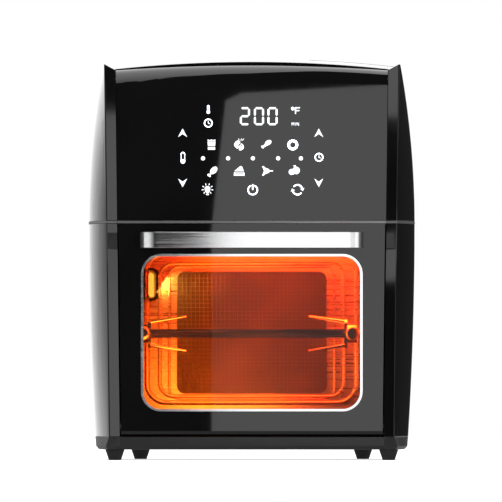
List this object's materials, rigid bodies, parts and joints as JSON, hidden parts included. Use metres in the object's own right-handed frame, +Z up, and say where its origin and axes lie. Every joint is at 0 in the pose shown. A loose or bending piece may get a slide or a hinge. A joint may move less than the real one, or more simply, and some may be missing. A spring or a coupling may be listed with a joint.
{
  "type": "air fryer oven",
  "caption": "Counter-top air fryer oven with a touch control panel, a pull-down window door, a rotisserie spit in its cavity and a fan and heater above it.",
  "frame": {"origin": "on the counter, under the middle of the bounding box", "axes": "+X right seen from the front, +Y to the back, +Z up; the door faces -Y"},
  "size_m": [0.3108, 0.356, 0.3813],
  "materials": {
    "gloss_black_front": "high gloss black, smooth",
    "gloss_black_side": "gloss black moulded plastic",
    "silver_trim": "bright silver trim",
    "matte_black_plastic": "fine-grained black plastic",
    "foot_rubber": "soft black rubber",
    "zinc_screw": "zinc-plated screw",
    "cavity_steel": "satin aluminised steel sheet",
    "dark_mesh": "dark non-stick coated sheet",
    "bright_wire": "bright plated steel",
    "dark_tray": "dark non-stick enamel",
    "heater_sheath": "heat-stained steel sheath, glowing when on",
    "fan_aluminium": "pressed aluminium",
    "fan_plastic": "dark heat-resistant plastic",
    "polished_shaft": "ground steel",
    "zinc_bracket": "zinc-plated sheet",
    "motor_steel": "grey motor can",
    "lamp_ceramic": "white ceramic",
    "lamp_glow": "clear halogen capsule, lit",
    "lamp_glass": "clear heat-resistant glass",
    "spit_steel": "polished stainless steel",
    "circuit_board": "green circuit board",
    "display_black": "black display housing",
    "switch_plastic": "light grey plastic",
    "magnet_grey": "nickel-plated magnet",
    "door_glass": "lightly tinted heat-resistant glass",
    "gasket_silicone": "dark silicone",
    "brushed_handle": "brushed stainless steel bar",
    "print_white": "white printed and lit symbols of the touch panel"
  },
  "bodies": {
    "housing": {"control_panel": "gloss_black_front", "left_upper_panel": "gloss_black_side", "right_upper_panel": "gloss_black_side", "left_lower_panel": "gloss_black_side", "right_lower_panel": "gloss_black_side", "top_cover": "gloss_black_side", "trim_seam": "silver_trim", "base_pan": "matte_black_plastic", "rear_cover": "matte_black_plastic", "rear_spacers": "matte_black_plastic", "front_feet": "foot_rubber", "rear_feet": "foot_rubber", "cord_gland": "foot_rubber", "cover_screws": "zinc_screw", "cavity_left_wall": "cavity_steel", "cavity_right_wall": "cavity_steel", "cavity_floor": "cavity_steel", "cavity_ceiling": "cavity_steel", "cavity_back_wall": "cavity_steel", "cavity_front_flange": "cavity_steel", "back_mesh": "dark_mesh", "rack_rails": "bright_wire", "drip_tray": "dark_tray", "fan_housing": "cavity_steel", "fan_guard": "dark_mesh", "heater_element": "heater_sheath", "motor_bracket": "zinc_bracket", "fan_motor": "motor_steel", "temperature_probe": "polished_shaft", "lamp_holder": "lamp_ceramic", "lamp_bulb": "lamp_glow", "lamp_lens": "lamp_glass", "spit_motor": "motor_steel", "spit_support": "bright_wire", "hinge_blocks": "matte_black_plastic", "control_board": "circuit_board", "display_module": "display_black", "power_board": "circuit_board", "door_switch": "switch_plastic", "striker_plates": "zinc_bracket"},
    "door": {"door_panel": "gloss_black_front", "window_trim": "silver_trim", "door_glass_outer": "door_glass", "door_glass_inner": "door_glass", "door_inner_frame": "matte_black_plastic", "door_gasket": "gasket_silicone", "handle_bar": "brushed_handle", "handle_screws": "zinc_screw", "hinge_pins": "polished_shaft", "door_magnets": "magnet_grey"},
    "door_switch_plunger": {"door_switch_plunger": "switch_plastic"},
    "spit": {"spit_shaft": "spit_steel"},
    "spit_drive": {"spit_coupler": "polished_shaft"},
    "left_fork": {"left_fork": "spit_steel"},
    "right_fork": {"right_fork": "spit_steel"},
    "left_fork_screw": {"left_fork_screw": "spit_steel"},
    "right_fork_screw": {"right_fork_screw": "spit_steel"},
    "fan": {"convection_fan": "fan_aluminium", "fan_shaft": "polished_shaft", "cooling_fan": "fan_plastic"}
  },
  "joints": [
    {"name": "door_hinge", "type": "hinge", "parent": "housing", "child": "door", "pos_m": [0, -0.1395, 0.0315], "axis": [1, 0, 0], "range_deg": [0, 85]},
    {"name": "door_switch_slide", "type": "slide", "parent": "housing", "child": "door_switch_plunger", "axis": [0, -1, 0], "range_m": [0, 0.0018]},
    {"name": "spit_spin", "type": "hinge", "parent": "housing", "child": "spit", "pos_m": [0, -0.005, 0.12], "axis": [1, 0, 0], "continuous": true},
    {"name": "spit_drive_spin", "type": "hinge", "parent": "housing", "child": "spit_drive", "pos_m": [0, -0.005, 0.12], "axis": [1, 0, 0], "continuous": true},
    {"name": "left_fork_slide", "type": "slide", "parent": "spit", "child": "left_fork", "axis": [1, 0, 0], "range_m": [0, 0.03]},
    {"name": "right_fork_slide", "type": "slide", "parent": "spit", "child": "right_fork", "axis": [-1, 0, 0], "range_m": [0, 0.03]},
    {"name": "left_fork_screw_turn", "type": "hinge", "parent": "left_fork", "child": "left_fork_screw", "pos_m": [-0.104, -0.03, 0.12], "axis": [0, 1, 0], "range_deg": [-360, 0]},
    {"name": "right_fork_screw_turn", "type": "hinge", "parent": "right_fork", "child": "right_fork_screw", "pos_m": [0.096, -0.03, 0.12], "axis": [0, 1, 0], "range_deg": [-360, 0]},
    {"name": "fan_spin", "type": "hinge", "parent": "housing", "child": "fan", "pos_m": [0, -0.004, 0.233], "axis": [0, 0, 1], "continuous": true}
  ],
  "couplings": [
    {"joint": "spit_drive_spin", "follows": "spit_spin", "ratio": 1},
    {"joint": "door_switch_slide", "follows": "door_hinge", "m_per_rad": 0.0012121}
  ]
}
